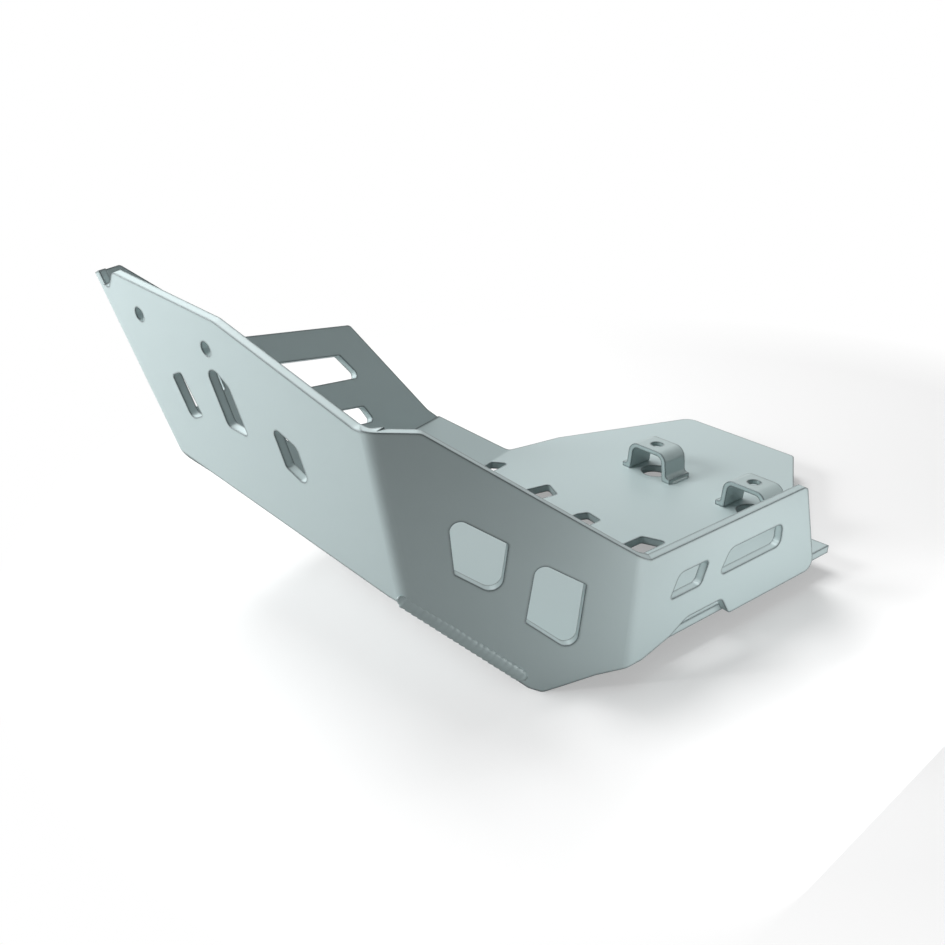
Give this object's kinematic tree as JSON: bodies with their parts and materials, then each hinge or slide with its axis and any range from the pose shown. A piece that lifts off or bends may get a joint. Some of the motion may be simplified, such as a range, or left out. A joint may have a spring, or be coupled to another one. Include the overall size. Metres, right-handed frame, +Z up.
{
  "type": "motorcycle engine guard",
  "caption": "Open tray of bent and welded sheet that guards a motorcycle engine's underside, with raked walls, cut-outs and raised hat brackets for its bolts.",
  "frame": {"origin": "centre of the bolt pattern, on the brackets' top faces midway between their two holes", "axes": "+Z up, +X to the motorcycle's rear, +Y to its right side"},
  "size_m": [0.2446, 0.3331, 0.1508],
  "materials": {
    "coated_sheet": "satin silver-grey",
    "coated_bracket": "satin silver-grey"
  },
  "bodies": {
    "root": {"base_plate": "coated_sheet", "wall_band": "coated_sheet", "bracket_front": "coated_bracket", "bracket_rear": "coated_bracket"}
  },
  "joints": []
}
